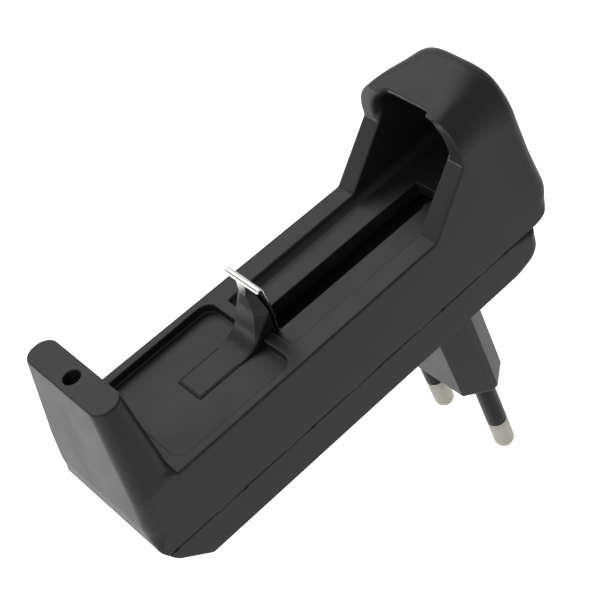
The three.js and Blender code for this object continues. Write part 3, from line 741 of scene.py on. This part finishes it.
def carriage(x, y, z):
    """The thumb rest: a flat back that widens downwards, and flanks out to the contact's edges."""
    ya = np.abs(y)
    back_half = np.interp(z, *zip(*BACK_HALF))
    edge_half = np.interp(z, *zip(*EDGE_HALF))
    rear = poly(x - 0.8 * np.maximum(ya - back_half, 0), z, RAMP)
    tower = cut(cut(rear, x - (CONTACT_X - 0.75), 0.2), (ya - edge_half) * 0.97, 0.35)
    tower = np.maximum(tower, BAY_FLOOR + 0.05 - z)
    thinner = 0.35 * np.maximum(np.maximum(ya - TAIL_HALF, TAIL_END_X - x) + 0.65, 0)
    tail = np.maximum(slab(x, TAIL_END_X, -31.0), ya - TAIL_HALF)
    tail = np.maximum(tail, np.maximum(BAY_FLOOR + 0.03 - z, z - TAIL_TOP + thinner))
    neck = np.maximum(ya - 2.7, slab(z, FLOOR_UNDER - 0.3, BAY_FLOOR + 0.5))
    neck = np.maximum(slab(x, *NECK_X), neck)
    low = np.maximum(ya - 2.95, BAY_FLOOR + 0.05 - z)
    tower = np.where(z < RIM + 0.1, np.maximum(tower, np.where(x > -30.2, low, tower)), tower)
    return np.minimum(np.minimum(tower, tail), neck)


def stroke(u, v, path, thickness):
    """Distance to a bent sheet seen from its edge."""
    best = None
    for (ax, ay), (bx, by) in zip(path, path[1:]):
        ex, ey = bx - ax, by - ay
        t = np.clip(((u - ax) * ex + (v - ay) * ey) / (ex * ex + ey * ey), 0, 1)
        gap = np.hypot(u - ax - ex * t, v - ay - ey * t)
        best = gap if best is None else np.minimum(best, gap)
    return best - thickness / 2


SHEET = 0.36
FOLD = (CONTACT_X - 0.85, CONTACT_TOP - 0.68, 0.5, 0.5)  # centre and radii of the bend at the top
PLATE_PATH = [
    (CONTACT_X - 0.2, FLOOR_UNDER + 0.7),
    (CONTACT_X - 0.2, 24.5),
    (CONTACT_X - 0.33, CONTACT_TOP - 0.7),
] + arc(*FOLD, 0, 165, 7)
LEG_PATH = arc(*FOLD, 60, 150, 5) + [(CONTACT_X - 1.95, CONTACT_TOP - 3.0)]
PLATE_FACE = rounded(
    [
        (-2.7, 15.6, 0.3),
        (2.7, 15.6, 0.3),
        (2.9, 18.6, 0.8),
        (4.1, 22.6, 0.8),
        (5.0, 26.5, 0.8),
        (5.0, CONTACT_TOP + 0.3, 0.0),
        (-5.0, CONTACT_TOP + 0.3, 0.0),
        (-5.0, 26.5, 0.8),
        (-4.1, 22.6, 0.8),
        (-2.9, 18.6, 0.8),
    ]
)


def contact(x, y, z):
    """The folded sheet: an upright plate, and a narrow leg that hangs behind it from the fold."""
    plate = cut(stroke(x, z, PLATE_PATH, SHEET), poly(y, z, PLATE_FACE), 0.1)
    narrow = rect(y, z - (CONTACT_TOP - 1.4), 1.65 - 0.25 * (CONTACT_TOP - z), 2.6, 0.3)
    leg = cut(stroke(x, z, LEG_PATH, SHEET), narrow, 0.1)
    return np.minimum(plate, leg)


LEAF_Z = 25.25
LEAF_HALF_HEIGHT = 6.7
LEAF_HALF_WIDTH = 3.5
DOME_Z = 28.05
DOME_RADIUS = 3.0


def hood_contact(x, y, z):
    """The flat leaf at the back of the hood, with a low dome for the cell's end."""
    face = HOOD_BACK_INNER_X - 0.2
    leaf = rect(x - (face - 0.2), z - LEAF_Z, 0.2, LEAF_HALF_HEIGHT, 0.1)
    leaf = cut(leaf, np.abs(y) - LEAF_HALF_WIDTH, 0.3)
    dome = np.sqrt(((x - face + 0.3) / 0.2) ** 2 + y * y + (z - DOME_Z) ** 2)
    dome = (dome - DOME_RADIUS) * 0.25
    return join(leaf, np.maximum(dome, x - face), 0.15)


# ---------- build ----------
FINE = 0.3
sculpted = {
    "upper_housing": sculpt(
        "housing_shell_upper",
        upper_housing,
        (-69.6, -15.6, 6.6),
        (25.9, 15.6, 39.6),
        FINE,
        0.3,
        "housing",
        BLACK,
    ),
    "lower_housing": sculpt(
        "housing_shell_lower",
        lower_housing,
        (-68.6, -15.6, -0.1),
        (20.2, 15.6, 6.9),
        FINE,
        0.35,
        "housing",
        BLACK,
    ),
    "plug_block": sculpt(
        "plug_block_moulding",
        plug_block,
        (-6.7, -14.0, -19.1),
        (6.7, 14.0, 3.5),
        FINE,
        0.5,
        "housing",
        BLACK,
    ),
    "slider_carriage": sculpt(
        "slider_body",
        carriage,
        (-47.4, -5.0, 14.9),
        (-28.7, 5.0, 29.2),
        0.11,
        0.3,
        "slider",
        BLACK,
    ),
    "slider_contact": sculpt(
        "slider_contact_sheet",
        contact,
        (-31.0, -5.3, 15.4),
        (-28.1, 5.3, 30.3),
        0.1,
        0.5,
        "slider",
        SPRING,
    ),
    "hood_contact": sculpt(
        "hood_contact_leaf",
        hood_contact,
        (20.9, -3.7, 18.4),
        (22.2, 3.7, 32.1),
        0.15,
        0.5,
        "housing",
        NICKEL,
    ),
}
for node, piece in sculpted.items():
    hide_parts(node)

for label, s in (("near", -1), ("far", 1)):
    pin = lathe("pin_metal_" + label, pin_profile(), pin_place(s), "housing", NICKEL)
    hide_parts("plug_pin_" + label)
    tube = lathe("pin_tube_" + label, sleeve_profile(), pin_place(s), "housing", SLEEVE)
    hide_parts("pin_sleeve_" + label)


def coil():
    """The tension spring, from the keeper to the anchor pin."""
    start, end = -26.4, 7.1
    turns, per_turn, radius = 19, 16, 1.05
    axis_z = SEAT + 13.45
    curve = bpy.data.curves.new("spring_coil", "CURVE")
    curve.dimensions = "3D"
    curve.bevel_depth = 0.19 * MM
    curve.bevel_resolution = 3
    curve.use_fill_caps = True
    spline = curve.splines.new("POLY")
    n = turns * per_turn
    spline.points.add(n)
    for k in range(n + 1):
        t = k / n
        a = t * turns * 2 * math.pi
        spline.points[k].co = (
            (start + (end - start) * t) * MM,
            radius * math.sin(a) * MM,
            (axis_z + radius * math.cos(a)) * MM,
            1,
        )
    piece = bpy.data.objects.new("spring_coil", curve)
    bpy.context.scene.collection.objects.link(piece)
    graph = bpy.context.evaluated_depsgraph_get()
    mesh = bpy.data.meshes.new_from_object(piece.evaluated_get(graph))
    bpy.data.objects.remove(piece)
    mesh.shade_smooth()
    piece = bpy.data.objects.new("spring_coil", mesh)
    bpy.context.scene.collection.objects.link(piece)
    piece.data.materials.clear()
    piece.data.materials.append(SPRING)
    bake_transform(piece)
    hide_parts("slider_spring")


coil()

NODE_MATERIALS = {
    "slider_keeper": BLACK,
    "slider_screw": NICKEL,
    "spring_anchor_pin": NICKEL,
    "slot_liner": LINER,
    "indicator_lamp": LENS,
    "circuit_board": BOARD,
    "transformer_core": FERRITE,
    "transformer_winding": TAPE,
    "mains_capacitor": CAN,
    "output_capacitor": CAN,
    "bridge_rectifier": EPOXY,
    "fusible_resistor": RESISTOR,
    "switching_transistor": EPOXY,
    "charge_controller": EPOXY,
    "output_diode": EPOXY,
    "safety_capacitor": DISC,
    "housing_screw_1": NICKEL,
    "housing_screw_2": NICKEL,
    "mains_wire_near": WIRE_BLACK,
    "mains_wire_far": WIRE_RED,
    "hood_contact_wire": WIRE_RED,
    "anchor_wire": WIRE_BLACK,
    "lamp_lead": WIRE_RED,
}
for name, material in NODE_MATERIALS.items():
    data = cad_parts[name].data
    data.materials.clear()
    data.materials.append(material)
    data.shade_smooth()
    data.set_sharp_from_angle(angle=math.radians(35))


# ---------- stage ----------
def paper():
    """The floor's faint mottle, lit a little from itself so that it stays white."""
    m, tree, shader = new_material("paper")
    cloud = noise(tree, 3, 2)
    white = tint(tree, cloud.outputs["Fac"], (0.93, 0.93, 0.93), (0.95, 0.95, 0.95))
    tree.links.new(white, shader.inputs["Base Color"])
    shader.inputs["Roughness"].default_value = 0.9
    shader.inputs["Specular IOR Level"].default_value = 0.1
    shader.inputs["Emission Color"].default_value = (1, 1, 1, 1)
    shader.inputs["Emission Strength"].default_value = 0.5
    return m


def floor():
    bm = bmesh.new()
    bmesh.ops.create_grid(bm, x_segments=8, y_segments=8, size=3.0)
    mesh = bpy.data.meshes.new("floor")
    bm.to_mesh(mesh)
    bm.free()
    mesh.materials.append(paper())
    piece = bpy.data.objects.new("floor", mesh)
    piece.location = (0, 0, -0.09)
    bpy.context.scene.collection.objects.link(piece)


floor()


def area_light(name, at, target, size, power, colour=(1, 1, 1)):
    """A soft rectangular light that points at the target."""
    light = bpy.data.lights.new(name, "AREA")
    light.shape = "RECTANGLE"
    light.size, light.size_y = size
    light.energy = power
    light.color = colour
    lamp = bpy.data.objects.new(name, light)
    lamp.location = at
    lamp.rotation_mode = "QUATERNION"
    lamp.rotation_quaternion = (Vector(target) - Vector(at)).to_track_quat("-Z", "Y")
    bpy.context.scene.collection.objects.link(lamp)
    return lamp


CENTRE = (-0.02, 0, 0.035)
area_light("key", (0.15, 0.45, 0.55), CENTRE, (0.7, 0.5), 2.4, (1.0, 0.99, 0.97))
area_light("fill", (-0.7, -0.2, 0.35), CENTRE, (0.5, 0.5), 2.5, (0.96, 0.98, 1.0))
area_light("edge", (-0.45, 0.5, 0.0), CENTRE, (0.5, 0.3), 2.2)

world = bpy.data.worlds.new("studio")
bpy.context.scene.world = world
world.use_nodes = True
world.node_tree.nodes["Background"].inputs["Color"].default_value = (0.98, 0.99, 1.0, 1)
world.node_tree.nodes["Background"].inputs["Strength"].default_value = 0.55

bpy.context.scene.view_settings.view_transform = "Standard"

# ---------- camera ----------
FOCAL_PIXELS = 1948.85
PICTURE = 600
SENSOR = 36.0
camera = bpy.data.cameras.new("camera")
camera.sensor_width = SENSOR
camera.lens = FOCAL_PIXELS / PICTURE * SENSOR
camera.clip_start, camera.clip_end = 0.01, 20
eye = bpy.data.objects.new("camera", camera)
at = (-0.111216, -0.238457, 0.260764)
look = Vector((0.26410, 0.70274, -0.66062)).normalized()
up = Vector((0.62595, 0.39621, 0.67172))
right = look.cross(up).normalized()
up = right.cross(look).normalized()
eye.matrix_world = Matrix(
    (
        (right.x, up.x, -look.x, at[0]),
        (right.y, up.y, -look.y, at[1]),
        (right.z, up.z, -look.z, at[2]),
        (0, 0, 0, 1),
    )
)
bpy.context.scene.collection.objects.link(eye)
bpy.context.scene.camera = eye
